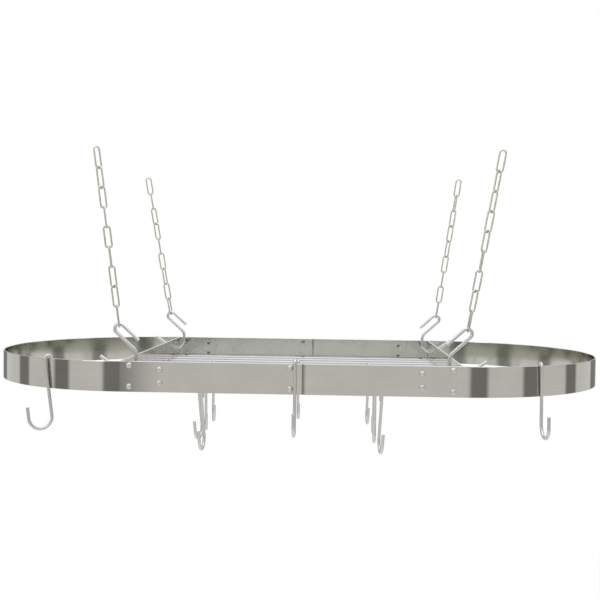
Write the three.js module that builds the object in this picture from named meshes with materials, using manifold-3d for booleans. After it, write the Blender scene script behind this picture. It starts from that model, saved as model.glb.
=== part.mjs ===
// A hanging pot rack. A band of steel strip goes round in a long oval, made of two halves that
// are lapped and riveted at the middle of the front and of the rear, the left one outside. Two
// cross bars with riveted tabs carry a grid of rods low in the band. Four S-shaped hangers in the
// cross bars hang on four chains, which spread outwards to the ceiling. Twelve pan hooks hang on
// the rods and on the rim.
//
// Millimetres, +Z up, the front is -Y. The origin is level with the points where ceiling hooks
// bear in the four top links, and midway between the four hangers.
import * as THREE from "three";
import { mergeVertices } from "three/addons/utils/BufferGeometryUtils.js";
import Module from "manifold-3d";

const wasm = await Module();
wasm.setup();

// Driving dimensions.
const seatGap = 0.3; // clearance between two pieces that touch

const rackLength = 914.4;
const rackDepth = 457.2;
const bandHeight = 41;
const stripThickness = 2;
const endFacets = 30; // in each half-round end
const lapReach = 15.3; // each half passes the middle by this much
const joggleLength = 5; // over which the inner layer steps in behind the outer one
const joggleFacets = 4;

const tabLength = 67;
const foldRadius = 4;
const foldFacets = 4;

const rivetHeadRadius = 4.1;
const rivetHeadHeight = 3.2;
const rivetShankRadius = 2.5;
const rivetTailRadius = 3.25;
const rivetTailHeight = 1.2;
const rivetSides = 8;
const rivetMiddleDepth = 19.5; // of each upright pair, below the rim
const wideRivetSpacing = 28;
const narrowRivetSpacing = 18;
const rivetFromFold = 13.5;
const rivetFromTabEnd = 12.8;

const rodDiameter = 4;
const rodPitch = 40;
const rodDepth = 33.5; // of the rods' centres, below the rim
const rodSides = 8;

const hangerWire = 4.8;
const hangerInset = 39; // of a hanger from the end of its cross bar
const hangerHoleDiameter = 7;
const hangerSlope = 42; // degrees, of the upper hook's legs
const hangerTipSlope = 36; // degrees, of the lower hook's free leg
const hangerUpperRadius = 6.5;
const hangerLowerRadius = 16.5;
const hangerBendOffset = 2.5; // of the lower bend's middle, outwards of its cross bar
const hangerKneeRadius = 12;
const hangerUpperLeg = 30.5;
const hangerLowerLeg = 29.5;
const hangerShank = 32;
const hangerUpright = 6.5;
const hangerBottomDepth = 17.5; // of the wire's lowest centre, below the rim

const linkWire = 2.4;
const linkWidth = 11;
const linkInnerLength = 27.7;
const linksPerChain = 9;
const linkSides = 6;
const linkFacets = 12;

const hookWire = 4.4;
const hookHeight = 101.6;
const hookMouthWidth = 36; // over the wide lower bend
const hookTipHeight = 34; // of the free tip above the hook's lowest point
const hookLoopLeg = 33; // free leg's reach below the hook's top
const lapHookFromRivet = 0.3; // side clearance to the lap's rivet heads

const hookLoopFacets = 6;
const wireSides = 8;
const bendFacet = 20; // degrees of a wire's bend between two of its rings

// Each chain's splay from upright in degrees, and how far each of its links is turned about it
// from flat to the front, top link first.
const chains = {
  front_left: { splay: 7.7, turns: [50, -24, 40, -75, 15, -80, -15, 45, -73] },
  front_right: { splay: 10.1, turns: [6, -61, 36, -29, 31, -89, -28, 32, -84] },
  rear_left: { splay: 10.1, turns: [11, 99, 39, -21, -81, 6, 66, 5, 73] },
  rear_right: { splay: 8.5, turns: [-5, 63, -37, 23, -57, 3, 81, -7, 78] },
};

// Hooks on the rods: place along the rod, rod number from the middle, turn and lean in degrees.
const rodHooks = {
  pan_hook_left_1: { x: -129, rod: -4, turn: -3.5, lean: -1.8 },
  pan_hook_left_2: { x: -145, rod: -2, turn: -9.6, lean: -1.4 },
  pan_hook_left_3: { x: -146, rod: 0, turn: 9.6, lean: -0.7 },
  pan_hook_left_4: { x: -144.7, rod: 2, turn: 11.8, lean: -0.2 },
  pan_hook_right_1: { x: 125.7, rod: -4, turn: 6.3, lean: 1.2 },
  pan_hook_right_2: { x: 119.7, rod: -2, turn: -4.8, lean: 0.4 },
  pan_hook_right_3: { x: 122, rod: 0, turn: -4.6, lean: 1 },
  pan_hook_right_4: { x: 116, rod: 2, turn: 2.5, lean: 1.3 },
  pan_hook_middle: { x: -4, rod: 3, turn: 5, lean: -0.5 },
};

// Hooks on the rounded ends: place round the end from its front, turn off square to the rim,
// and lean.
const endHooks = {
  pan_hook_rim_left: { side: -1, round: 27.3, turn: 26.6, lean: -6.9 },
  pan_hook_rim_right: { side: 1, round: 27.7, turn: -23.2, lean: -1.3 },
};
const drawnShare = 0.5; // of its free play, by which a loop on the rim is drawn outwards

const radians = THREE.MathUtils.degToRad;

// Sizes that follow.
const endRadius = rackDepth / 2;
const straightHalf = rackLength / 2 - endRadius;
const layerStep = stripThickness + seatGap;
const doubleThickness = stripThickness + layerStep;
const hookLoopGap = Math.max(doubleThickness, rodDiameter) + 2 * seatGap;
const outerLayer = endRadius - stripThickness / 2; // middle of the strip's thickness
const innerLayer = outerLayer - layerStep;
const outermostRod = innerLayer - stripThickness / 2 - rivetTailHeight - seatGap - rodDiameter / 2;
const rodsEachSide = Math.floor(outermostRod / rodPitch); // of the middle rod
const tabRivetPlaces = [
  { x: straightHalf - rivetFromFold, spacing: wideRivetSpacing },
  { x: straightHalf - tabLength + rivetFromTabEnd, spacing: narrowRivetSpacing },
];
const hangerY = endRadius - hangerInset;
const facetRise = hangerLowerRadius * (1 - Math.cos(radians(bendFacet / 2)));
const barFaceFromBend = hangerBendOffset + stripThickness / 2;
const bendRise = hangerLowerRadius - Math.sqrt(hangerLowerRadius ** 2 - barFaceFromBend ** 2);
const hangerRise = bendRise + facetRise; // of the wire inside its hole, above its lowest centre
const hookLoopRadius = (hookLoopGap + hookWire) / 2;
const hookBendRadius = (hookMouthWidth - hookWire) / 2;
const linkPitch = linkInnerLength - seatGap;
const linkReach = (linkInnerLength + linkWire) / 2; // link's middle to its end wire's centre

const steel = (color, roughness) =>
  new THREE.MeshStandardMaterial({ color, roughness, metalness: 1 });
const bandSteel = steel(0xa5a397, 0.3);
const rodSteel = steel(0xb4b2a8, 0.3);
const rivetSteel = steel(0xb8b6ae, 0.25);
const hangerSteel = steel(0xc4c1c3, 0.35);
const chainSteel = steel(0xa9a493, 0.35);
const hookSteel = steel(0x94938b, 0.3);

// A plane path of straight runs and bends, from a start point and a heading in degrees.
class PlanePath {
  constructor(start, heading) {
    this.points = [start.clone()];
    this.heading = heading;
  }

  forward(length) {
    const angle = radians(this.heading);
    const step = new THREE.Vector2(Math.cos(angle), Math.sin(angle)).multiplyScalar(length);
    this.points.push(this.points.at(-1).clone().add(step));
    return this;
  }

  // Turns left for positive degrees, and keeps the bend's centre.
  turn(radius, degrees, facets = Math.ceil(Math.abs(degrees) / bendFacet)) {
    const side = Math.sign(degrees);
    const toCentre = radians(this.heading + 90 * side);
    const centre = new THREE.Vector2(Math.cos(toCentre), Math.sin(toCentre))
      .multiplyScalar(radius)
      .add(this.points.at(-1));
    const from = this.points.at(-1).clone();
    for (let facet = 1; facet <= facets; facet += 1) {
      this.points.push(from.clone().rotateAround(centre, radians((degrees * facet) / facets)));
    }
    this.heading += degrees;
    this.centre = centre;
    return this;
  }
}

// A space curve with a ring at each of its points.
class Route extends THREE.Curve {
  constructor(points) {
    super();
    this.points = points;
  }

  getPoint(t, target = new THREE.Vector3()) {
    const last = this.points.length - 1;
    const index = Math.min(Math.floor(t * last + 1e-6), last - 1);
    return target.lerpVectors(this.points[index], this.points[index + 1], t * last - index);
  }

  getPointAt(u, target) {
    return this.getPoint(u, target);
  }

  getTangentAt(u, target = new THREE.Vector3()) {
    const last = this.points.length - 1;
    const index = Math.round(u * last);
    const before = this.points[Math.max(index - 1, 0)];
    const here = this.points[index];
    const after = this.points[Math.min(index + 1, last)];
    const arriving = here.clone().sub(before).normalize();
    return target.copy(after).sub(here).normalize().add(arriving).normalize();
  }
}

// Round wire along a path in an upright plane: path x is along the plane, path y is up.
function wireGeometry(path, diameter) {
  const route = new Route(path.points.map((point) => new THREE.Vector3(point.x, 0, point.y)));
  const corners = [];
  for (let side = 0; side < wireSides; side += 1) {
    const angle = (side / wireSides) * 2 * Math.PI;
    corners.push(new THREE.Vector2(Math.cos(angle), Math.sin(angle)).multiplyScalar(diameter / 2));
  }
  return new THREE.ExtrudeGeometry(new THREE.Shape(corners), {
    steps: route.points.length - 1,
    extrudePath: route,
    bevelEnabled: false,
  });
}

// Strip on edge along a plan path, from the rim's level down.
function stripGeometry(points) {
  const left = [];
  const right = [];
  points.forEach((point, index) => {
    const before = points[Math.max(index - 1, 0)];
    const after = points[Math.min(index + 1, points.length - 1)];
    const arriving = point.clone().sub(before).normalize();
    const leaving = after.clone().sub(point).normalize();
    const along = arriving.clone().add(leaving).normalize();
    const straight = Math.max(along.dot(arriving), along.dot(leaving));
    const across = new THREE.Vector2(-along.y, along.x).multiplyScalar(
      stripThickness / 2 / straight,
    );
    left.push(point.clone().add(across));
    right.unshift(point.clone().sub(across));
  });
  const shape = new THREE.Shape([...left, ...right]);
  return new THREE.ExtrudeGeometry(shape, { depth: bandHeight, bevelEnabled: false }).translate(
    0,
    0,
    -bandHeight,
  );
}

// Solids that are cut and joined.
function solidOf(geometry) {
  const bare = geometry.clone();
  bare.deleteAttribute("normal");
  bare.deleteAttribute("uv");
  const merged = mergeVertices(bare, 1e-4);
  return new wasm.Manifold(
    new wasm.Mesh({
      numProp: 3,
      vertProperties: new Float32Array(merged.attributes.position.array),
      triVerts: new Uint32Array(merged.index.array),
    }),
  );
}

function geometryOf(solid) {
  const mesh = solid.getMesh();
  const geometry = new THREE.BufferGeometry();
  geometry.setAttribute("position", new THREE.BufferAttribute(mesh.vertProperties, 3));
  geometry.setIndex(new THREE.BufferAttribute(mesh.triVerts, 1));
  geometry.computeVertexNormals();
  return geometry;
}

const cutAll = (solid, cutters) => cutters.reduce((rest, cutter) => rest.subtract(cutter), solid);
const joinAll = (solid, others) => others.reduce((sum, other) => sum.add(other), solid);

// A domed rivet through two layers, with its head outside the rack and its tail inside. Its
// axis is Y, and y = 0 is the outer layer's outer face.
function rivetGeometry(tailGap) {
  const headSeat = seatGap;
  const tailSeat = -doubleThickness - tailGap;
  const shoulder = Math.SQRT1_2;
  const profile = [
    [0, headSeat + rivetHeadHeight],
    [rivetHeadRadius * shoulder, headSeat + rivetHeadHeight * shoulder],
    [rivetHeadRadius, headSeat],
    [rivetShankRadius, headSeat],
    [rivetShankRadius, tailSeat],
    [rivetTailRadius, tailSeat],
    [0, tailSeat - rivetTailHeight],
  ];
  const points = profile.reverse().map(([radius, height]) => new THREE.Vector2(radius, height));
  return new THREE.LatheGeometry(points, rivetSides);
}

const rivetHoleGeometry = () =>
  new THREE.CylinderGeometry(
    rivetShankRadius + seatGap,
    rivetShankRadius + seatGap,
    doubleThickness * 3,
    rivetSides,
  );

// Puts a rivet or its hole in the front (-1) or rear (1) face of the rack.
function seatedAtFace(geometry, x, face, depth) {
  if (face < 0) geometry.rotateZ(Math.PI);
  return geometry.translate(x, face * endRadius, -depth);
}

const pairDepths = (spacing) => [rivetMiddleDepth - spacing / 2, rivetMiddleDepth + spacing / 2];

// Every rivet place in the front and rear faces, for x on the right side or at the middle.
function rivetPlaces(places) {
  return [-1, 1].flatMap((face) =>
    places.flatMap(({ x, spacing }) => pairDepths(spacing).map((depth) => ({ x, face, depth }))),
  );
}

const lapRivets = rivetPlaces([{ x: 0, spacing: wideRivetSpacing }]);
const rightTabRivets = rivetPlaces(tabRivetPlaces);

// A half of the band, round the left end: outside the other half at both laps, or stepped in
// behind it.
function bandHalfSolid(steppedIn) {
  const stepStart = lapReach + seatGap + joggleLength;
  const lap = [new THREE.Vector2(lapReach, steppedIn ? innerLayer : outerLayer)];
  for (let facet = joggleFacets; facet > 0 && steppedIn; facet -= 1) {
    const share = facet / joggleFacets;
    const inward = (layerStep * (1 - Math.cos(Math.PI * share))) / 2;
    lap.unshift(new THREE.Vector2(-stepStart + joggleLength * share, outerLayer - inward));
  }
  const path = new PlanePath(new THREE.Vector2(-stepStart, -outerLayer), 180)
    .forward(straightHalf - stepStart)
    .turn(outerLayer, -180, endFacets)
    .forward(straightHalf - stepStart);
  const frontLap = lap.map((point) => new THREE.Vector2(point.x, -point.y)).reverse();
  path.points.unshift(...frontLap);
  path.points.push(...lap);
  const holes = [
    ...lapRivets,
    ...rightTabRivets.map((place) => ({ ...place, x: -place.x })),
  ];
  return cutAll(
    solidOf(stripGeometry(path.points)),
    holes.map(({ x, face, depth }) => solidOf(seatedAtFace(rivetHoleGeometry(), x, face, depth))),
  );
}

// The right cross bar with its folded tabs, hanger holes and the rivets set in the tabs.
function crossBarSolid() {
  const start = new THREE.Vector2(straightHalf - tabLength, -innerLayer);
  const barReach = innerLayer - foldRadius;
  const path = new PlanePath(start, 0)
    .forward(tabLength - foldRadius)
    .turn(foldRadius, 90, foldFacets)
    .forward(2 * barReach)
    .turn(foldRadius, 90, foldFacets)
    .forward(tabLength - foldRadius);
  const holeRadius = hangerHoleDiameter / 2;
  const holeDepth = hangerBottomDepth - hangerRise - hangerWire / 2 - seatGap + holeRadius;
  const holes = [-1, 1].map((side) =>
    solidOf(
      new THREE.CylinderGeometry(holeRadius, holeRadius, stripThickness * 3, rivetSides * 2)
        .rotateZ(Math.PI / 2)
        .translate(straightHalf, side * hangerY, -holeDepth),
    ),
  );
  const rivets = rightTabRivets.map(({ x, face, depth }) =>
    solidOf(seatedAtFace(rivetGeometry(0), x, face, depth)),
  );
  return joinAll(cutAll(solidOf(stripGeometry(path.points)), holes), rivets);
}

// Both cross bars and the rods welded between them.
function gridFrameGeometry() {
  const rightBar = crossBarSolid();
  const leftBar = solidOf(geometryOf(rightBar).rotateZ(Math.PI));
  const rods = [];
  for (let number = -rodsEachSide; number <= rodsEachSide; number += 1) {
    const rod = new THREE.CylinderGeometry(
      rodDiameter / 2,
      rodDiameter / 2,
      2 * straightHalf,
      rodSides,
    );
    rods.push(
      solidOf(rod.rotateZ(Math.PI / 2).translate(0, number * rodPitch, -rodDepth)),
    );
  }
  return geometryOf(joinAll(rightBar.add(leftBar), rods));
}

// An S hanger in its own plane: x outwards from the cross bar, y up from the rim.
function hangerPath() {
  const startHeading = 180 + hangerTipSlope;
  const bendCentre = new THREE.Vector2(hangerBendOffset, hangerLowerRadius - hangerBottomDepth);
  const bendStart = new THREE.Vector2(0, -hangerLowerRadius)
    .rotateAround(new THREE.Vector2(), radians(hangerTipSlope))
    .add(bendCentre);
  const tipAngle = radians(hangerTipSlope);
  const tip = new THREE.Vector2(Math.cos(tipAngle), Math.sin(tipAngle))
    .multiplyScalar(hangerLowerLeg)
    .add(bendStart);
  const path = new PlanePath(tip, startHeading)
    .forward(hangerLowerLeg)
    .turn(hangerLowerRadius, -(hangerTipSlope + 90))
    .forward(hangerUpright)
    .turn(hangerKneeRadius, -(90 - hangerSlope))
    .forward(hangerShank)
    .turn(hangerUpperRadius, 180);
  path.upperCentre = path.centre;
  return path.forward(hangerUpperLeg);
}

// A long oval link about its own middle, upright and flat to the front: a ring cut across its
// middle and drawn apart.
function linkGeometry() {
  const ringRadius = (linkWidth - linkWire) / 2;
  const halfFacet = Math.PI / linkFacets;
  const ring = new THREE.TorusGeometry(
    ringRadius / Math.cos(halfFacet),
    linkWire / 2,
    linkSides,
    linkFacets,
  );
  ring.rotateZ(halfFacet).rotateX(Math.PI / 2);
  const position = ring.attributes.position;
  const drawn = linkReach - ringRadius;
  for (let index = 0; index < position.count; index += 1) {
    position.setZ(index, position.getZ(index) + Math.sign(position.getZ(index)) * drawn);
  }
  return ring;
}

// A pan hook in its own plane: x towards the wide mouth, y up, about the upper loop's middle.
function hookPath() {
  const top = hookLoopRadius + hookWire / 2;
  const shank = hookHeight - top - hookBendRadius - hookWire / 2;
  const loopLeg = hookLoopLeg - top;
  return new PlanePath(new THREE.Vector2(-hookLoopRadius, -loopLeg), 90)
    .forward(loopLeg)
    .turn(hookLoopRadius, -180, hookLoopFacets)
    .forward(shank)
    .turn(hookBendRadius, 180)
    .forward(hookTipHeight - hookWire / 2 - hookBendRadius);
}

// The angle in degrees at which a wire on this path hangs with its weight under the loop.
function hangingTilt(path) {
  const weight = new THREE.Vector2();
  for (let index = 1; index < path.points.length; index += 1) {
    const from = path.points[index - 1];
    const to = path.points[index];
    const middle = from.clone().add(to).multiplyScalar(0.5);
    weight.add(middle.multiplyScalar(from.distanceTo(to)));
  }
  return THREE.MathUtils.radToDeg(Math.atan2(weight.x, -weight.y));
}

const pot_rack = new THREE.Group();

function addMesh(parent, name, geometry, material) {
  const mesh = new THREE.Mesh(geometry, material.clone());
  mesh.name = name;
  parent.add(mesh);
  return mesh;
}

// The rack: the group's own zero is the rim's level.
const rack = new THREE.Group();
pot_rack.add(rack);

addMesh(rack, "band_left", geometryOf(bandHalfSolid(false)), bandSteel);
addMesh(rack, "band_right", geometryOf(bandHalfSolid(true)), bandSteel).rotation.z = Math.PI;
addMesh(rack, "grid_frame", gridFrameGeometry(), rodSteel);

lapRivets.forEach(({ x, face, depth }) => {
  const end = face < 0 ? "front" : "rear";
  const level = depth < rivetMiddleDepth ? "upper" : "lower";
  const geometry = seatedAtFace(rivetGeometry(seatGap), x, face, depth);
  addMesh(rack, `lap_rivet_${end}_${level}`, geometry, rivetSteel);
});

// Hangers and chains, one at each end of each cross bar. A chain pulls on its hanger's upper
// bend along its own line, and that line's contact with the wire is the chain's lower pivot.
const hanger = hangerPath();
const hangerWireGeometry = wireGeometry(hanger, hangerWire);
const lowestLink = linkReach - (hangerWire + linkWire) / 2 - seatGap;
const chainReach = lowestLink + linkPitch * (linksPerChain - 1) + linkReach - linkWire / 2;
const bearingHeights = [];

for (const [end, across] of [["front", -1], ["rear", 1]]) {
  for (const [side, outward] of [["left", -1], ["right", 1]]) {
    const corner = new THREE.Group();
    corner.position.set(outward * straightHalf, across * hangerY, 0);
    corner.rotation.z = outward < 0 ? Math.PI : 0;
    rack.add(corner);
    addMesh(corner, `hanger_${end}_${side}`, hangerWireGeometry.clone(), hangerSteel);

    const splay = radians(chains[`${end}_${side}`].splay);
    const line = new THREE.Vector2(Math.sin(splay), Math.cos(splay));
    const pivot = line.clone().multiplyScalar(hangerUpperRadius).add(hanger.upperCentre);
    bearingHeights.push(line.multiplyScalar(chainReach).add(pivot).y);

    const chain = new THREE.Group();
    chain.position.set(pivot.x, 0, pivot.y);
    chain.rotation.y = splay;
    corner.add(chain);
    chains[`${end}_${side}`].turns.forEach((turn, index) => {
      const name = `link_${end}_${side}_${index + 1}`;
      const link = addMesh(chain, name, linkGeometry(), chainSteel);
      link.position.z = lowestLink + linkPitch * (linksPerChain - 1 - index);
      link.rotation.z = radians(turn);
    });
  }
}

// Pan hooks on the rods, each hanging with its weight under its rod.
const hook = hookPath();
const hookGeometry = wireGeometry(hook, hookWire).rotateZ(-Math.PI / 2);
const freeTilt = hangingTilt(hook);
const loopInside = hookLoopGap / 2;
const belowRod = loopInside - seatGap - rodDiameter / 2;

function addHook(name, place, turn, tilt, lean) {
  const mesh = addMesh(rack, name, hookGeometry.clone(), hookSteel);
  mesh.position.copy(place);
  mesh.rotation.set(radians(tilt), radians(lean), radians(turn), "ZYX");
}

for (const [name, { x, rod, turn, lean }] of Object.entries(rodHooks)) {
  addHook(name, new THREE.Vector3(x, rod * rodPitch, -rodDepth - belowRod), turn, freeTilt, lean);
}

// Pan hooks on the rim: the loop straddles the strip's two edges, drawn outwards, and the shank
// is swung in until it meets the strip's foot. A loop set at an angle to the strip has less room.
function addRimHook(name, strip, outward, turn, lean) {
  const angle = radians(turn);
  const halfStrip = (strip.thickness + hookWire) / 2 / Math.cos(angle) - hookWire / 2;
  const room = loopInside - seatGap;
  const play = Math.max(room - halfStrip, 0);
  const drawn = play * drawnShare;
  const inward = (play + drawn) / bandHeight + Math.tan(radians(lean)) * Math.sin(angle);
  const tilt = THREE.MathUtils.radToDeg(Math.atan(inward / Math.cos(angle)));
  const drop = Math.sqrt(Math.max(room ** 2 - (halfStrip + drawn) ** 2, 0));
  const away = radians(outward);
  const x = strip.x + drawn * Math.sin(away);
  const y = strip.y - drawn * Math.cos(away);
  addHook(name, new THREE.Vector3(x, y, -drop), outward + turn, tilt, lean);
}

for (const [name, { side, round, turn, lean }] of Object.entries(endHooks)) {
  const outward = radians(round);
  const x = side * (straightHalf + outerLayer * Math.sin(outward));
  const y = -outerLayer * Math.cos(outward);
  addRimHook(name, { thickness: stripThickness, x, y }, side * round, side * turn, lean);
}

const lapHookX = rivetHeadRadius + lapHookFromRivet + hookWire / 2;
const lapHookY = doubleThickness / 2 - endRadius;
const lapStrip = { thickness: doubleThickness, x: lapHookX, y: lapHookY };
addRimHook("pan_hook_rim_front", lapStrip, 0, 0, 0);

// Lowers the rack by its chains' mean height, so that the ceiling hooks' points are about zero.
const meanHeight = bearingHeights.reduce((sum, height) => sum + height) / bearingHeights.length;
rack.position.z = -meanHeight;

export default pot_rack;
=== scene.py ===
import math

import bmesh
import bpy
from mathutils import Matrix, Vector


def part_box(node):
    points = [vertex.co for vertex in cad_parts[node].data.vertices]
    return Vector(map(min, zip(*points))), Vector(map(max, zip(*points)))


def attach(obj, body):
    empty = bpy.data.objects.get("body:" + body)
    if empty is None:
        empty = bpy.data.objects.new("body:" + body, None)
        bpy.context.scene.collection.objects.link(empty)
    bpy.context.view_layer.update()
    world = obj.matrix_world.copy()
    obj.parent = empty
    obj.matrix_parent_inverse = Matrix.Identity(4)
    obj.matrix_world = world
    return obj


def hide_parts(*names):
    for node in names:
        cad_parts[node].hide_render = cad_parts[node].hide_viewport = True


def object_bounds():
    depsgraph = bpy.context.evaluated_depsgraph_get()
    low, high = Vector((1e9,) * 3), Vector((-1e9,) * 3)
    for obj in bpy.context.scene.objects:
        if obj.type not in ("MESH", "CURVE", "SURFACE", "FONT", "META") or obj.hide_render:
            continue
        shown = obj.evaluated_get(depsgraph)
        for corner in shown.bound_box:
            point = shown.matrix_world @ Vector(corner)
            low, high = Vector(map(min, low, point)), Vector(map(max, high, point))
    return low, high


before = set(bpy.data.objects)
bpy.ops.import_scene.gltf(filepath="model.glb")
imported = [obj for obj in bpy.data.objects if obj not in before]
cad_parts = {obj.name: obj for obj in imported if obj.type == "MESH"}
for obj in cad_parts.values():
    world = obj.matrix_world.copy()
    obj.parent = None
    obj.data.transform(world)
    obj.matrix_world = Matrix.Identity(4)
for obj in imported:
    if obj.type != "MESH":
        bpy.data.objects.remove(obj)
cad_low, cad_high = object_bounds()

MM = 0.001

# The rack's own sizes, from its frame.
band_low, band_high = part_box("band_left")
RIM = band_high.z
BAND_HEIGHT = band_high.z - band_low.z
END_RADIUS = (band_high.y - band_low.y) / 2
STRAIGHT_HALF = -band_low.x - END_RADIUS

# The same driving dimensions as the solids have.
SEAT_GAP = 0.3 * MM
STRIP = 2 * MM
LAP_REACH = 15.3 * MM
JOGGLE = 5 * MM
TAB_LENGTH = 67 * MM
FOLD_RADIUS = 4 * MM
RIVET_HEAD_RADIUS = 4.1 * MM
RIVET_HEAD_HEIGHT = 3.2 * MM
RIVET_TAIL_RADIUS = 3.2 * MM
RIVET_TAIL_HEIGHT = 1.1 * MM
RIVET_MIDDLE_DEPTH = 19.5 * MM
WIDE_SPACING = 28 * MM
NARROW_SPACING = 18 * MM
RIVET_FROM_FOLD = 13.5 * MM
RIVET_FROM_TAB_END = 12.8 * MM
ROD_RADIUS = 2 * MM
ROD_PITCH = 40 * MM
ROD_DEPTH = 33.5 * MM
RODS_EACH_SIDE = 5
HANGER_RADIUS = 2.4 * MM
HANGER_INSET = 39 * MM
HANGER_HOLE_RADIUS = 3.5 * MM
HANGER_SLOPE = 42
HANGER_TIP_SLOPE = 36
HANGER_UPPER_RADIUS = 6.5 * MM
HANGER_LOWER_RADIUS = 16.5 * MM
HANGER_BEND_OFFSET = 2.5 * MM
HANGER_KNEE_RADIUS = 12 * MM
HANGER_UPPER_LEG = 30.5 * MM
HANGER_LOWER_LEG = 29.5 * MM
HANGER_SHANK = 32 * MM
HANGER_UPRIGHT = 6.5 * MM
HANGER_BOTTOM_DEPTH = 17.5 * MM
LINK_RADIUS = 1.2 * MM
LINK_WIDTH = 11 * MM
LINK_INNER_LENGTH = 27.7 * MM
LINKS_PER_CHAIN = 9
HOOK_RADIUS = 2.2 * MM
HOOK_HEIGHT = 101.6 * MM
HOOK_LOOP_GAP = 4.9 * MM
HOOK_MOUTH_WIDTH = 36 * MM
HOOK_TIP_HEIGHT = 34 * MM
HOOK_LOOP_LEG = 33 * MM

# Each chain's splay, and how far each link is turned about it, top link first, in degrees.
CHAINS = {
    "front_left": (7.7, [50, -24, 40, -75, 15, -80, -15, 45, -73]),
    "front_right": (10.1, [6, -61, 36, -29, 31, -89, -28, 32, -84]),
    "rear_left": (10.1, [11, 99, 39, -21, -81, 6, 66, 5, 73]),
    "rear_right": (8.5, [-5, 63, -37, 23, -57, 3, 81, -7, 78]),
}

# Hooks on the rods: place along the rod, rod number, turn and lean in degrees.
ROD_HOOKS = {
    "pan_hook_left_1": (-129 * MM, -4, -3.5, -1.8),
    "pan_hook_left_2": (-145 * MM, -2, -9.6, -1.4),
    "pan_hook_left_3": (-146 * MM, 0, 9.6, -0.7),
    "pan_hook_left_4": (-144.7 * MM, 2, 11.8, -0.2),
    "pan_hook_right_1": (125.7 * MM, -4, 6.3, 1.2),
    "pan_hook_right_2": (119.7 * MM, -2, -4.8, 0.4),
    "pan_hook_right_3": (122 * MM, 0, -4.6, 1),
    "pan_hook_right_4": (116 * MM, 2, 2.5, 1.3),
    "pan_hook_middle": (-4 * MM, 3, 5, -0.5),
}

# Hooks on the rounded ends: side, place round the end, turn off square and lean, in degrees.
END_HOOKS = {
    "pan_hook_rim_left": (-1, 27.3, 26.6, -6.9),
    "pan_hook_rim_right": (1, 27.7, -23.2, -1.3),
}

# How much of its play a rim hook is drawn outwards.
DRAWN_SHARE = 0.5

LAYER_STEP = STRIP + SEAT_GAP
DOUBLE_STRIP = STRIP + LAYER_STEP
OUTER_LAYER = END_RADIUS - STRIP / 2
INNER_LAYER = OUTER_LAYER - LAYER_STEP
HANGER_Y = END_RADIUS - HANGER_INSET
LOOP_RADIUS = HOOK_LOOP_GAP / 2 + HOOK_RADIUS
LINK_PITCH = LINK_INNER_LENGTH - SEAT_GAP
LINK_REACH = LINK_INNER_LENGTH / 2 + LINK_RADIUS

SIDES = (("left", -1), ("right", 1))
FACES = (("front", -1), ("rear", 1))
X_AXIS = Vector((1, 0, 0))
Y_AXIS = Vector((0, 1, 0))
Z_AXIS = Vector((0, 0, 1))


# Node trees.


def calculate(tree, operation, *values):
    """A math node's output, from other nodes' outputs or plain numbers."""
    node = tree.nodes.new("ShaderNodeMath")
    node.operation = operation
    for socket, value in zip(node.inputs, values):
        if isinstance(value, bpy.types.NodeSocket):
            tree.links.new(value, socket)
        else:
            socket.default_value = value
    return node.outputs[0]


def noise(tree, place, scale, detail):
    """A noise texture's value at a place."""
    texture = tree.nodes.new("ShaderNodeTexNoise")
    texture.inputs["Scale"].default_value = scale
    texture.inputs["Detail"].default_value = detail
    tree.links.new(place, texture.inputs["Vector"])
    return texture.outputs["Fac"]


def bump(tree, height, distance, strength):
    """A bump node that raises the surface by a texture's value."""
    node = tree.nodes.new("ShaderNodeBump")
    node.inputs["Strength"].default_value = strength
    node.inputs["Distance"].default_value = distance
    tree.links.new(height, node.inputs["Height"])
    return node


def bare_material(name):
    """A material whose tree holds its output alone."""
    material = bpy.data.materials.new(name)
    material.use_nodes = True
    material.node_tree.nodes.clear()
    output = material.node_tree.nodes.new("ShaderNodeOutputMaterial")
    return material, output


# Materials. The scales of noise and grain are in waves a metre.

STAIN_SCALE = 22
STAIN_DETAIL = 4
WAVE_SCALE = 13
WAVE_DETAIL = 1
SCRATCH_DETAIL = 5
SCRATCH_STRENGTH = 0.3

# The scratches' share in the tone. The stains have the rest.
SCRATCH_SHARE = 0.5
DARK_BELOW = 0.35
LIGHT_ABOVE = 0.62

# The stains' usual range, over which the roughness goes from smoothest to roughest.
STAIN_LOW = 0.3
STAIN_HIGH = 0.7
SMOOTHEST = 0.8
ROUGHEST = 1.25


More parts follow.
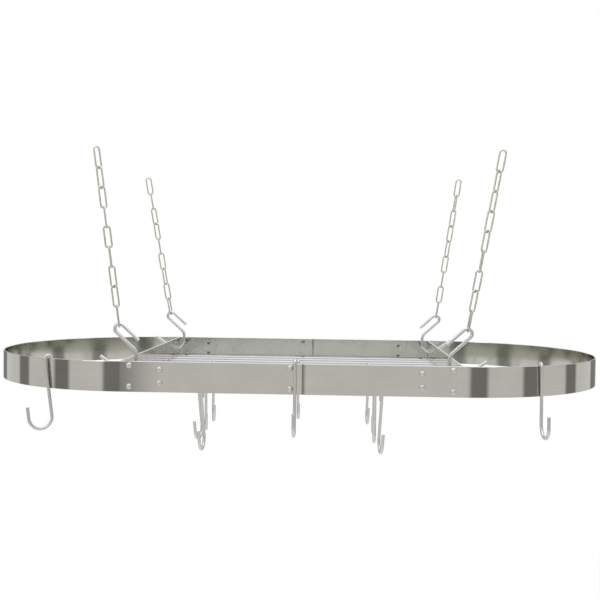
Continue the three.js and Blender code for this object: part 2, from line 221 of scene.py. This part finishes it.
def steel(name, light, dark, roughness, grain, depth, anisotropy=0.0, wave=0.0):
    """Bare steel whose grain runs where the grain scale is lowest, with stains and slow waves."""
    material = bpy.data.materials.new(name)
    material.use_nodes = True
    tree = material.node_tree
    shader = tree.nodes["Principled BSDF"]
    shader.inputs["Metallic"].default_value = 1
    shader.inputs["Anisotropic"].default_value = anisotropy

    place = tree.nodes.new("ShaderNodeTexCoord").outputs["Object"]
    stretched = tree.nodes.new("ShaderNodeMapping")
    stretched.inputs["Scale"].default_value = grain
    tree.links.new(place, stretched.inputs["Vector"])
    scratches = noise(tree, stretched.outputs["Vector"], 1, SCRATCH_DETAIL)
    stains = noise(tree, place, STAIN_SCALE, STAIN_DETAIL)
    waves = noise(tree, place, WAVE_SCALE, WAVE_DETAIL)

    tones = tree.nodes.new("ShaderNodeValToRGB")
    for stop, position, colour in zip(tones.color_ramp.elements, (DARK_BELOW, LIGHT_ABOVE), (dark, light)):
        stop.position = position
        stop.color = (*colour, 1)
    stain_part = calculate(tree, "MULTIPLY", stains, 1 - SCRATCH_SHARE)
    marks = calculate(tree, "MULTIPLY_ADD", scratches, SCRATCH_SHARE, stain_part)
    tree.links.new(marks, tones.inputs["Fac"])
    tree.links.new(tones.outputs["Color"], shader.inputs["Base Color"])

    matt = tree.nodes.new("ShaderNodeMapRange")
    matt.inputs["From Min"].default_value = STAIN_LOW
    matt.inputs["From Max"].default_value = STAIN_HIGH
    matt.inputs["To Min"].default_value = roughness * SMOOTHEST
    matt.inputs["To Max"].default_value = roughness * ROUGHEST
    tree.links.new(stains, matt.inputs["Value"])
    tree.links.new(matt.outputs["Result"], shader.inputs["Roughness"])

    swell = bump(tree, waves, wave, 1)
    relief = bump(tree, scratches, depth, SCRATCH_STRENGTH)
    tree.links.new(swell.outputs["Normal"], relief.inputs["Normal"])
    tree.links.new(relief.outputs["Normal"], shader.inputs["Normal"])
    return material


BAND_STEEL = steel(
    "band_steel", light=(0.57, 0.555, 0.505), dark=(0.52, 0.505, 0.455), roughness=0.045,
    grain=(9, 9, 900), depth=0.002 * MM, anisotropy=0.1, wave=0.03 * MM,
)
# The band's inside faces: rougher than the outside, and lighter in colour as painted light that brightens
# the inside of the band.
INNER_STEEL_LIGHTENED = steel(
    "inner_steel_painted_light", light=(0.67, 0.67, 0.61), dark=(0.62, 0.62, 0.56), roughness=0.13,
    grain=(9, 9, 900), depth=0.001 * MM, wave=0.005 * MM,
)
BAR_STEEL = steel(
    "bar_steel", light=(0.64, 0.64, 0.59), dark=(0.58, 0.58, 0.53), roughness=0.1,
    grain=(9, 9, 900), depth=0.002 * MM, anisotropy=0.1, wave=0.02 * MM,
)
ROD_STEEL = steel(
    "rod_steel", light=(0.58, 0.58, 0.60), dark=(0.52, 0.52, 0.53), roughness=0.2,
    grain=(14, 700, 700), depth=0.006 * MM,
)
RIVET_STEEL = steel(
    "rivet_steel", light=(0.66, 0.65, 0.61), dark=(0.60, 0.59, 0.55), roughness=0.42,
    grain=(300, 300, 300), depth=0.01 * MM,
)
# The rivet tails' steel is painted far darker than the heads', as painted shade of their place inside the
# band.
TAIL_STEEL_PAINTED_SHADE = steel(
    "tail_steel_painted_shade", light=(0.32, 0.31, 0.28), dark=(0.24, 0.23, 0.21), roughness=0.35,
    grain=(300, 300, 300), depth=0.01 * MM,
)
HANGER_ZINC = steel(
    "hanger_zinc", light=(0.69, 0.68, 0.69), dark=(0.62, 0.61, 0.62), roughness=0.32,
    grain=(200, 200, 200), depth=0.015 * MM,
)
CHAIN_NICKEL = steel(
    "chain_nickel", light=(0.66, 0.64, 0.56), dark=(0.58, 0.56, 0.48), roughness=0.28,
    grain=(200, 200, 120), depth=0.008 * MM,
)
HOOK_STEEL = steel(
    "hook_steel", light=(0.66, 0.66, 0.63), dark=(0.59, 0.59, 0.57), roughness=0.38,
    grain=(200, 200, 60), depth=0.006 * MM,
)


# Shapes.

# How far from a straight run's ends its supporting points lie.
NEAR_END = 1 * MM

# How finely bends are cut, in degrees a facet, and round pieces, in sides or steps.
BEND_FACET = 6
END_FACET = 2
LOOP_FACET = 12
LINK_FACET = 15
STRIP_CORNER_STEPS = 4
HEAD_STEPS = 6
JOGGLE_STEPS = 24
WIRE_SIDES = 16
LINK_SIDES = 12
ROD_SIDES = 20
RIVET_SIDES = 24
HOLE_SIDES = 32
WELD_SIDES = 16


class PlanePath:
    """A plane path of straight runs and bends, from a start point and a heading in degrees."""

    def __init__(self, start, heading):
        self.points = [Vector(start)]
        self.heading = heading

    def forward(self, length):
        """A straight run, with points near its ends that keep its surface's shading straight."""
        angle = math.radians(self.heading)
        ahead = Vector((math.cos(angle), math.sin(angle)))
        start = self.points[-1]
        stops = (NEAR_END, length - NEAR_END, length) if length > 4 * NEAR_END else (length,)
        self.points += [start + ahead * stop for stop in stops]
        return self

    def turn(self, radius, degrees, facet=BEND_FACET):
        """Turns left for positive degrees, and keeps the bend's centre."""
        to_centre = math.radians(self.heading + math.copysign(90, degrees))
        start = self.points[-1]
        self.centre = start + Vector((math.cos(to_centre), math.sin(to_centre))) * radius
        facets = math.ceil(abs(degrees) / facet)
        for number in range(1, facets + 1):
            swung = Matrix.Rotation(math.radians(degrees * number / facets), 2)
            self.points.append(self.centre + swung @ (start - self.centre))
        self.heading += degrees
        return self


def circle(radius, sides):
    """The corners of a round section."""
    angles = [2 * math.pi * side / sides for side in range(sides)]
    return [Vector((math.cos(angle), math.sin(angle))) * radius for angle in angles]


def strip_section(thickness, height, top_corner, foot_corner):
    """A flat strip's section with rounded edges: thickness first, height second."""
    points = []
    for quarter, (across, up) in enumerate(((1, 1), (-1, 1), (-1, -1), (1, -1))):
        corner = top_corner if up > 0 else foot_corner
        middle = Vector((across * (thickness / 2 - corner), up * (height / 2 - corner)))
        for step in range(STRIP_CORNER_STEPS + 1):
            angle = math.pi / 2 * (quarter + step / STRIP_CORNER_STEPS)
            points.append(middle + Vector((math.cos(angle), math.sin(angle))) * corner)
    return points


# Edges that turn by more than this many degrees stay sharp.
WIRE_CREASE = 40
STRIP_CREASE = 8


def placed(name, mesh_data):
    """Turns a bmesh into an object in the scene."""
    mesh = bpy.data.meshes.new(name)
    mesh_data.to_mesh(mesh)
    mesh_data.free()
    item = bpy.data.objects.new(name, mesh)
    bpy.context.scene.collection.objects.link(item)
    return item


def finished(name, mesh_data, body, material, node, crease=WIRE_CREASE):
    """Makes a piece of a bmesh, dresses it and sets it on its body in its node's place."""
    bmesh.ops.recalc_face_normals(mesh_data, faces=mesh_data.faces)
    piece = placed(name, mesh_data)
    piece.data.shade_smooth()
    piece.data.set_sharp_from_angle(angle=math.radians(crease))
    piece.data.materials.append(material)
    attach(piece, body)
    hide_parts(node)
    return piece


def sweep(points, side, section, closed=False, scales=None):
    """Carries a section along a plane path. Side is square to the path's plane."""
    mesh_data = bmesh.new()
    count = len(points)
    rings = []
    for index, point in enumerate(points):
        before = points[index - 1] if closed or index else None
        after = points[(index + 1) % count] if closed or index + 1 < count else None
        leaving = (after - point).normalized() if after is not None else None
        arriving = (point - before).normalized() if before is not None else leaving
        leaving = leaving or arriving
        along = (arriving + leaving).normalized()
        across = along.cross(side) / along.dot(arriving)
        scale = scales[index] if scales else 1
        rings.append([
            mesh_data.verts.new(point + (across * corner.x + side * corner.y) * scale)
            for corner in section
        ])
    runs = count if closed else count - 1
    for run in range(runs):
        ring, following = rings[run], rings[(run + 1) % count]
        for index in range(len(section)):
            beside = (index + 1) % len(section)
            mesh_data.faces.new((ring[index], following[index], following[beside], ring[beside]))
    if not closed:
        mesh_data.faces.new(rings[0])
        mesh_data.faces.new(list(reversed(rings[-1])))
    return mesh_data


# A cut end's bevel: its length and its small end, in shares of the wire's radius.
BROKEN_EDGE = 0.22
BROKEN_END = 0.8


def wire(points, side, radius):
    """Round wire with its cut ends slightly broken."""
    chamfer = radius * BROKEN_EDGE
    start = points[0] + (points[1] - points[0]).normalized() * chamfer
    end = points[-1] + (points[-2] - points[-1]).normalized() * chamfer
    route = [points[0], start, *points[1:-1], end, points[-1]]
    scales = [BROKEN_END] + [1] * (len(route) - 2) + [BROKEN_END]
    return sweep(route, side, circle(radius, WIRE_SIDES), scales=scales)


def lathe(profile, place, axis, sides):
    """Revolves a profile of radius and height about an axis from a place."""
    mesh_data = bmesh.new()
    turned = axis.to_track_quat("Z", "Y").to_matrix()
    rings = []
    for radius, height in profile:
        ring = [
            mesh_data.verts.new(place + turned @ Vector((corner.x, corner.y, height)))
            for corner in circle(radius, sides)
        ]
        rings.append(ring)
    for ring, following in zip(rings, rings[1:]):
        for index in range(sides):
            beside = (index + 1) % sides
            mesh_data.faces.new((ring[index], ring[beside], following[beside], following[index]))
    mesh_data.faces.new(rings[0])
    mesh_data.faces.new(rings[-1])
    return mesh_data


def scaled(profile, radius, height):
    """A profile that is given in shares of a radius and of a height, at its size."""
    return [(radius * across, height * up) for across, up in profile]


# A rivet's upset tail from its seat to the floor of its hollow, in shares of its size.
TAIL_PROFILE = ((0.94, 0), (1, 0.35), (0.85, 0.8), (0.66, 1), (0.54, 0.94), (0.5, 0.8), (0.4, 0.05))

# A domed head's foot, its upright edge and its flat crown, in shares of its size.
HEAD_FOOT = 0.96
HEAD_EDGE = 0.15
HEAD_CROWN = 0.04


def dome():
    """The profile of a domed head with a short upright edge, in shares of its size."""
    angles = [math.pi / 2 * step / HEAD_STEPS for step in range(HEAD_STEPS)]
    arc = [(math.cos(angle), HEAD_EDGE + (1 - HEAD_EDGE) * math.sin(angle)) for angle in angles]
    return [(HEAD_FOOT, 0), *arc, (HEAD_CROWN, 1)]


# The band, in two lapped halves.

BAND_TOP_CORNER = 0.9 * MM
BAR_TOP_CORNER = 0.8 * MM
FOOT_CORNER = 0.25 * MM


def brush_and_lighten_inside(mesh):
    """Gives the faces that look at the oval's middle their duller finish and a lighter colour, which is
    painted light on the band's inside.
    """
    mesh.materials.append(INNER_STEEL_LIGHTENED)
    for face in mesh.polygons:
        middle = max(-STRAIGHT_HALF, min(STRAIGHT_HALF, face.center.x))
        outward = Vector((face.center.x - middle, face.center.y))
        if face.normal.to_2d().dot(outward) < 0:
            face.material_index = 1


def band_half(name, stepped_in):
    """The left half outside both laps, or the right half stepped in behind it at both."""
    step_start = LAP_REACH + SEAT_GAP + JOGGLE
    lap = [Vector((LAP_REACH, INNER_LAYER if stepped_in else OUTER_LAYER))]
    if stepped_in:
        for number in range(JOGGLE_STEPS):
            share = number / JOGGLE_STEPS
            inward = LAYER_STEP * (1 + math.cos(math.pi * share)) / 2
            lap.append(Vector((-step_start + JOGGLE * (1 - share), OUTER_LAYER - inward)))
    path = PlanePath((-step_start, -OUTER_LAYER), 180)
    path.forward(STRAIGHT_HALF - step_start)
    path.turn(OUTER_LAYER, -180, END_FACET)
    path.forward(STRAIGHT_HALF - step_start)
    front_lap = [Vector((point.x, -point.y)) for point in lap]
    level = RIM - BAND_HEIGHT / 2
    turned = Matrix.Rotation(math.pi if stepped_in else 0, 3, "Z")
    plan = [*front_lap, *path.points, *reversed(lap)]
    points = [turned @ Vector((point.x, point.y, level)) for point in plan]
    section = strip_section(STRIP, BAND_HEIGHT, BAND_TOP_CORNER, FOOT_CORNER)
    mesh_data = sweep(points, Z_AXIS, section)
    strip = finished(name + "_strip", mesh_data, "rack", BAND_STEEL, name, STRIP_CREASE)
    brush_and_lighten_inside(strip.data)


band_half("band_left", False)
band_half("band_right", True)


def rivet_pairs(x, spacing):
    """The rivet places in the front and rear faces at x, upper and lower."""
    depths = (RIVET_MIDDLE_DEPTH - spacing / 2, RIVET_MIDDLE_DEPTH + spacing / 2)
    return [
        (end, face, level, Vector((x, face * END_RADIUS, RIM - depth)))
        for end, face in FACES
        for level, depth in zip(("upper", "lower"), depths)
    ]


def rivet(name, place, face, node, tail_seat):
    """A domed rivet: its head outside the band and its upset tail inside."""
    outward = Y_AXIS * face
    head = scaled(dome(), RIVET_HEAD_RADIUS, RIVET_HEAD_HEIGHT)
    mesh_data = lathe(head, place + outward * SEAT_GAP, outward, RIVET_SIDES)
    finished(name + "_head", mesh_data, "rack", RIVET_STEEL, node)
    tail = scaled(TAIL_PROFILE, RIVET_TAIL_RADIUS, RIVET_TAIL_HEIGHT)
    mesh_data = lathe(tail, place - outward * tail_seat, -outward, RIVET_SIDES)
    # The tail's dark colour is painted shade.
    finished(name + "_tail", mesh_data, "rack", TAIL_STEEL_PAINTED_SHADE, node)


for end, face, level, place in rivet_pairs(0, WIDE_SPACING):
    node = f"lap_rivet_{end}_{level}"
    rivet(node, place, face, node, DOUBLE_STRIP + SEAT_GAP)

TAB_RIVETS = (
    ("outer", STRAIGHT_HALF - RIVET_FROM_FOLD, WIDE_SPACING),
    ("inner", STRAIGHT_HALF - TAB_LENGTH + RIVET_FROM_TAB_END, NARROW_SPACING),
)
for where, x, spacing in TAB_RIVETS:
    for side_name, side in SIDES:
        for end, face, level, place in rivet_pairs(side * x, spacing):
            name = f"tab_rivet_{end}_{side_name}_{where}_{level}"
            rivet(name, place, face, "grid_frame", DOUBLE_STRIP)


# The cross bars, with folded tabs and a hole for each hanger.


def drilled(piece, places, radius, axis):
    """Cuts round holes through a piece."""
    for place in places:
        profile = [(radius, -2 * STRIP), (radius, 2 * STRIP)]
        cutter_data = lathe(profile, place, axis, HOLE_SIDES)
        bmesh.ops.recalc_face_normals(cutter_data, faces=cutter_data.faces)
        cutter = placed("cutter", cutter_data)
        cut = piece.modifiers.new("hole", "BOOLEAN")
        cut.object = cutter
        cut.solver = "EXACT"
        graph = bpy.context.evaluated_depsgraph_get()
        cut_mesh = bpy.data.meshes.new_from_object(piece.evaluated_get(graph))
        piece.modifiers.clear()
        piece.data = cut_mesh
        bpy.data.objects.remove(cutter)


def cross_bar(side_name, side):
    """A bar from front to rear, with its tabs along the band's inside."""
    path = PlanePath((STRAIGHT_HALF - TAB_LENGTH, -INNER_LAYER), 0)
    path.forward(TAB_LENGTH - FOLD_RADIUS).turn(FOLD_RADIUS, 90)
    path.forward(2 * (INNER_LAYER - FOLD_RADIUS)).turn(FOLD_RADIUS, 90)
    path.forward(TAB_LENGTH - FOLD_RADIUS)
    level = RIM - BAND_HEIGHT / 2
    points = [Vector((side * point.x, point.y, level)) for point in path.points]
    section = strip_section(STRIP, BAND_HEIGHT, BAR_TOP_CORNER, FOOT_CORNER)
    mesh_data = sweep(points, Z_AXIS, section)
    name = "cross_bar_" + side_name
    bar = finished(name, mesh_data, "rack", BAR_STEEL, "grid_frame", STRIP_CREASE)
    face_from_bend = HANGER_BEND_OFFSET + STRIP / 2
    rise = HANGER_LOWER_RADIUS - math.sqrt(HANGER_LOWER_RADIUS ** 2 - face_from_bend ** 2)
    hole_depth = HANGER_BOTTOM_DEPTH - rise - HANGER_RADIUS - SEAT_GAP + HANGER_HOLE_RADIUS
    holes = [Vector((side * STRAIGHT_HALF, end * HANGER_Y, RIM - hole_depth)) for end in (-1, 1)]
    drilled(bar, holes, HANGER_HOLE_RADIUS, X_AXIS)


for side_name, side in SIDES:
    cross_bar(side_name, side)


# The grid's rods. A weld bead round a rod's end has its radius in rod radii, and its height.
WELD_PROFILE = ((1.75, 0), (1.6, 0.5 * MM), (1.25, 1.1 * MM), (0.98, 1.9 * MM))

for number in range(-RODS_EACH_SIDE, RODS_EACH_SIDE + 1):
    y, z = number * ROD_PITCH, RIM - ROD_DEPTH
    reach = STRAIGHT_HALF - STRIP / 2
    ends = [Vector((-reach, y, z)), Vector((reach, y, z))]
    name = f"rod_{number + RODS_EACH_SIDE + 1}"
    rod = sweep(ends, Y_AXIS, circle(ROD_RADIUS, ROD_SIDES))
    finished(name, rod, "rack", ROD_STEEL, "grid_frame")
    for side_name, side in SIDES:
        foot = Vector((side * reach, y, z))
        bead = lathe(scaled(WELD_PROFILE, ROD_RADIUS, 1), foot, X_AXIS * -side, WELD_SIDES)
        finished(f"{name}_weld_{side_name}", bead, "rack", BAR_STEEL, "grid_frame")


# Hangers and chains.

LINK_WELD_LENGTH = 1.2 * MM
LINK_WELD_SLOPE = 0.6 * MM
LINK_WELD_SWELL = 1.13


def hanger_path():
    """The hanger's path from its lower tip to its upper one, and its upper bend's centre."""
    start = Vector((0, -HANGER_LOWER_RADIUS))
    bend_centre = Vector((HANGER_BEND_OFFSET, HANGER_LOWER_RADIUS - HANGER_BOTTOM_DEPTH))
    slope = math.radians(HANGER_TIP_SLOPE)
    bend_start = Matrix.Rotation(slope, 2) @ start + bend_centre
    tip = bend_start + Vector((math.cos(slope), math.sin(slope))) * HANGER_LOWER_LEG
    path = PlanePath(tip, 180 + HANGER_TIP_SLOPE)
    path.forward(HANGER_LOWER_LEG).turn(HANGER_LOWER_RADIUS, -(HANGER_TIP_SLOPE + 90))
    path.forward(HANGER_UPRIGHT).turn(HANGER_KNEE_RADIUS, -(90 - HANGER_SLOPE))
    path.forward(HANGER_SHANK).turn(HANGER_UPPER_RADIUS, 180)
    upper_centre = path.centre
    path.forward(HANGER_UPPER_LEG)
    return path.points, upper_centre


def link_outline():
    """A long oval, upright, with two places on one leg for the weld's swell."""
    radius = LINK_WIDTH / 2 - LINK_RADIUS
    straight = LINK_REACH - radius
    weld_reach = LINK_WELD_LENGTH / 2 + LINK_WELD_SLOPE
    path = PlanePath((radius, -weld_reach), 90)
    path.forward(LINK_WELD_SLOPE).forward(LINK_WELD_LENGTH).forward(LINK_WELD_SLOPE)
    path.forward(straight - weld_reach).turn(radius, 180, LINK_FACET)
    path.forward(2 * straight).turn(radius, 180, LINK_FACET)
    scales = [1, LINK_WELD_SWELL, LINK_WELD_SWELL] + [1] * (len(path.points) - 3)
    return path.points, scales


HANGER_POINTS, UPPER_CENTRE = hanger_path()
LOWEST_LINK = LINK_REACH - HANGER_RADIUS - LINK_RADIUS - SEAT_GAP
LINK_POINTS, LINK_SCALES = link_outline()


def hang_corner(end, side_name, face, side):
    """One corner's hanger and the chain above it."""
    half_turn = Matrix.Rotation(math.pi if side < 0 else 0, 4, "Z")
    corner = Matrix.Translation((side * STRAIGHT_HALF, face * HANGER_Y, RIM)) @ half_turn
    node = f"hanger_{end}_{side_name}"
    points = [corner @ Vector((point.x, 0, point.y)) for point in HANGER_POINTS]
    finished(node + "_wire", wire(points, Y_AXIS, HANGER_RADIUS), "rack", HANGER_ZINC, node)

    degrees, turns = CHAINS[f"{end}_{side_name}"]
    splay = math.radians(degrees)
    pivot = UPPER_CENTRE + Vector((math.sin(splay), math.cos(splay))) * HANGER_UPPER_RADIUS
    chain = corner @ Matrix.Translation((pivot.x, 0, pivot.y)) @ Matrix.Rotation(splay, 4, "Y")
    for index, turn in enumerate(turns):
        node = f"link_{end}_{side_name}_{index + 1}"
        body = f"chain_{end}_{side_name}" if index else "ceiling_links"
        height = LOWEST_LINK + LINK_PITCH * (LINKS_PER_CHAIN - 1 - index)
        place = chain @ Matrix.Translation((0, 0, height)) @ Matrix.Rotation(math.radians(turn), 4, "Z")
        points = [place @ Vector((point.x, 0, point.y)) for point in LINK_POINTS]
        square = place.to_3x3() @ Y_AXIS
        section = circle(LINK_RADIUS, LINK_SIDES)
        mesh_data = sweep(points, square, section, closed=True, scales=LINK_SCALES)
        finished(node + "_wire", mesh_data, body, CHAIN_NICKEL, node)


for end, face in FACES:
    for side_name, side in SIDES:
        hang_corner(end, side_name, face, side)


# Pan hooks.


def hook_path():
    """A pan hook's path from its loop's tip to its mouth's tip, with its loop's centre at zero."""
    top = LOOP_RADIUS + HOOK_RADIUS
    bend = HOOK_MOUTH_WIDTH / 2 - HOOK_RADIUS
    path = PlanePath((-LOOP_RADIUS, top - HOOK_LOOP_LEG), 90)
    path.forward(HOOK_LOOP_LEG - top).turn(LOOP_RADIUS, -180, LOOP_FACET)
    path.forward(HOOK_HEIGHT - top - bend - HOOK_RADIUS).turn(bend, 180)
    path.forward(HOOK_TIP_HEIGHT - HOOK_RADIUS - bend)
    return path.points


def hanging_tilt(points):
    """The angle at which a wire on this path hangs with its weight under the loop."""
    weight = Vector((0, 0))
    for start, end in zip(points, points[1:]):
        weight += (start + end) / 2 * (end - start).length
    return math.atan2(weight.x, -weight.y)


HOOK_POINTS = hook_path()
FREE_TILT = hanging_tilt(HOOK_POINTS)
LOOP_ROOM = HOOK_LOOP_GAP / 2 - SEAT_GAP


def pan_hook(name, place, turn, tilt, lean):
    """A hook on its own body, with its loop's centre at a place. The angles are in radians."""
    swung = Matrix.Rotation(turn, 4, "Z") @ Matrix.Rotation(lean, 4, "Y") @ Matrix.Rotation(tilt, 4, "X")
    stood = Matrix.Translation(place) @ swung
    points = [stood @ Vector((0, -point.x, point.y)) for point in HOOK_POINTS]
    mesh_data = wire(points, stood.to_3x3() @ X_AXIS, HOOK_RADIUS)
    finished(name + "_wire", mesh_data, name, HOOK_STEEL, name)


for name, (x, rod, turn, lean) in ROD_HOOKS.items():
    place = Vector((x, rod * ROD_PITCH, RIM - ROD_DEPTH - (LOOP_ROOM - ROD_RADIUS)))
    pan_hook(name, place, math.radians(turn), FREE_TILT, math.radians(lean))


def rim_hook(name, thickness, x, y, outward, turn, lean):
    """A hook drawn outwards on a strip, its shank swung in until it meets the strip's foot."""
    half_strip = (thickness / 2 + HOOK_RADIUS) / math.cos(turn) - HOOK_RADIUS
    play = max(LOOP_ROOM - half_strip, 0)
    drawn = play * DRAWN_SHARE
    inward = (play + drawn) / BAND_HEIGHT + math.tan(lean) * math.sin(turn)
    tilt = math.atan(inward / math.cos(turn))
    drop = math.sqrt(max(LOOP_ROOM ** 2 - (half_strip + drawn) ** 2, 0))
    place = Vector((x + drawn * math.sin(outward), y - drawn * math.cos(outward), RIM - drop))
    pan_hook(name, place, outward + turn, tilt, lean)


for name, (side, *degrees) in END_HOOKS.items():
    outward, turn, lean = (math.radians(value) for value in degrees)
    x = side * (STRAIGHT_HALF + OUTER_LAYER * math.sin(outward))
    y = -OUTER_LAYER * math.cos(outward)
    rim_hook(name, STRIP, x, y, side * outward, side * turn, lean)

LAP_HOOK_X = RIVET_HEAD_RADIUS + SEAT_GAP + HOOK_RADIUS
rim_hook("pan_hook_rim_front", DOUBLE_STRIP, LAP_HOOK_X, DOUBLE_STRIP / 2 - END_RADIUS, 0, 0, 0)


# Floor, lamps and the room.

FLOOR_HALF = 1.3
FLOOR_DROP = 0.6
FLOOR_TONE = 0.86
FLOOR_GLOW = 0.9
RACK_MIDDLE = Vector((0, 0, RIM))


def floor():
    """A pale floor, which is near white where it is seen and keeps a trace of the shadow."""
    mesh_data = bmesh.new()
    bmesh.ops.create_grid(mesh_data, x_segments=1, y_segments=1, size=FLOOR_HALF)
    ground = placed("floor", mesh_data)
    ground.location.z = cad_low.z - FLOOR_DROP

    material, output = bare_material("pale_floor")
    tree = material.node_tree
    paint = tree.nodes.new("ShaderNodeBsdfDiffuse")
    paint.inputs["Color"].default_value = (FLOOR_TONE, FLOOR_TONE, FLOOR_TONE, 1)
    white = tree.nodes.new("ShaderNodeEmission")
    rays = tree.nodes.new("ShaderNodeLightPath").outputs
    mix = tree.nodes.new("ShaderNodeMixShader")
    seen = calculate(tree, "MAXIMUM", rays["Is Camera Ray"], rays["Is Glossy Ray"])
    seen = calculate(tree, "MAXIMUM", seen, rays["Is Transmission Ray"])
    tree.links.new(calculate(tree, "MULTIPLY", seen, FLOOR_GLOW), mix.inputs[0])
    tree.links.new(paint.outputs[0], mix.inputs[1])
    tree.links.new(white.outputs[0], mix.inputs[2])
    tree.links.new(mix.outputs[0], output.inputs["Surface"])
    ground.data.materials.append(material)


floor()


def lamp(name, place, width, height, watts, colour):
    """A soft rectangular lamp that points at the rack."""
    data = bpy.data.lights.new(name, "AREA")
    data.shape = "RECTANGLE"
    data.size = width
    data.size_y = height
    data.energy = watts
    data.color = colour
    item = bpy.data.objects.new(name, data)
    item.location = place
    item.rotation_euler = (RACK_MIDDLE - Vector(place)).to_track_quat("-Z", "Y").to_euler()
    item.visible_camera = False
    bpy.context.scene.collection.objects.link(item)


lamp("overhead", (0, -0.3, 1.5), width=2.4, height=1.6, watts=12, colour=(1, 0.99, 0.97))
lamp("front_left", (-1.6, -2.2, 0.7), width=0.8, height=1.2, watts=6, colour=(1, 0.98, 0.95))

# The studio's upright soft panels, which the polished steel mirrors as broad streaks. They are
# all alike and stand evenly round the front and the sides, before a dim wall that turns white
# behind the rack. Bearings are in degrees from the front.
PANEL_SPACING = 40
PANELS_EACH_SIDE = 3
PANEL_HALF_WIDTH = 12
PANEL_EDGE = 3
PANEL_LEVEL = 0.8
WALL_LEVEL = 0.25
WHITE_FROM = 160
WHITE_EDGE = 10
WHITE_LEVEL = 1
PANEL_LAYER = "panel"
ROOM_RADIUS = 20

# Heights of the room's walls from the rim, each with how far the panels show there. The rest is
# white.
ROOM_LEVELS = ((-12, 1), (6, 1), (20, 0))


def room_stops():
    """Bearings round the room, each with its brightness, between which it changes evenly."""
    stops = [(-180, WHITE_LEVEL), (-WHITE_FROM, WHITE_LEVEL), (WHITE_EDGE - WHITE_FROM, WALL_LEVEL)]
    for number in range(-PANELS_EACH_SIDE, PANELS_EACH_SIDE + 1):
        middle = number * PANEL_SPACING
        stops += [
            (middle - PANEL_HALF_WIDTH - PANEL_EDGE, WALL_LEVEL),
            (middle - PANEL_HALF_WIDTH, PANEL_LEVEL),
            (middle + PANEL_HALF_WIDTH, PANEL_LEVEL),
            (middle + PANEL_HALF_WIDTH + PANEL_EDGE, WALL_LEVEL),
        ]
    stops += [(WHITE_FROM - WHITE_EDGE, WALL_LEVEL), (WHITE_FROM, WHITE_LEVEL), (180, WHITE_LEVEL)]
    return stops


def room_walls():
    """The panels, which only the steel sees."""
    mesh_data = bmesh.new()
    shade = mesh_data.verts.layers.float_color.new(PANEL_LAYER)
    stops = room_stops()
    rows = []
    for height, share in ROOM_LEVELS:
        row = []
        for degrees, level in stops:
            bearing = math.radians(degrees)
            place = (ROOM_RADIUS * math.sin(bearing), -ROOM_RADIUS * math.cos(bearing), RIM + height)
            corner = mesh_data.verts.new(place)
            tone = level * share + 1 - share
            corner[shade] = (tone, tone, tone, 1)
            row.append(corner)
        rows.append(row)
    for lower, upper in zip(rows, rows[1:]):
        for index in range(len(stops) - 1):
            mesh_data.faces.new((lower[index], lower[index + 1], upper[index + 1], upper[index]))
    walls = placed("room_walls", mesh_data)
    walls.visible_camera = False
    walls.visible_diffuse = False
    walls.visible_shadow = False

    material, output = bare_material("room_panels")
    tree = material.node_tree
    painted = tree.nodes.new("ShaderNodeVertexColor")
    painted.layer_name = PANEL_LAYER
    glow = tree.nodes.new("ShaderNodeEmission")
    tree.links.new(painted.outputs["Color"], glow.inputs["Color"])
    tree.links.new(glow.outputs[0], output.inputs["Surface"])
    walls.data.materials.append(material)


def white_world():
    """White light from everywhere, and a white background."""
    world = bpy.data.worlds.new("studio")
    bpy.context.scene.world = world
    world.use_nodes = True
    world.node_tree.nodes["Background"].inputs["Color"].default_value = (1, 1, 1, 1)


room_walls()
white_world()
bpy.context.scene.view_settings.view_transform = "Standard"

# The camera, nearly level and square to the front. It is placed in millimetres from the rim's
# middle, and its angles are in radians.
CAMERA_PLACE = Vector((59.61, -1379.92, 119.2)) * MM + Vector((0, 0, RIM))
CAMERA_YAW = -0.0413
CAMERA_PITCH = -0.0299
CAMERA_ROLL = 0.0121
FOCAL_PIXELS = 873.1
FRAME_PIXELS = 600
SENSOR = 36


def camera():
    """The photograph's camera."""
    ahead = Vector((
        math.sin(CAMERA_YAW) * math.cos(CAMERA_PITCH),
        math.cos(CAMERA_YAW) * math.cos(CAMERA_PITCH),
        math.sin(CAMERA_PITCH),
    ))
    level = Vector((math.cos(CAMERA_YAW), -math.sin(CAMERA_YAW), 0))
    upright = level.cross(ahead)
    right = math.cos(CAMERA_ROLL) * level + math.sin(CAMERA_ROLL) * upright
    up = math.cos(CAMERA_ROLL) * upright - math.sin(CAMERA_ROLL) * level
    data = bpy.data.cameras.new("camera")
    data.sensor_width = SENSOR
    data.lens = FOCAL_PIXELS / FRAME_PIXELS * SENSOR
    item = bpy.data.objects.new("camera", data)
    axes = Matrix((right, up, -ahead)).transposed().to_4x4()
    item.matrix_world = Matrix.Translation(CAMERA_PLACE) @ axes
    bpy.context.scene.collection.objects.link(item)
    bpy.context.scene.camera = item


camera()
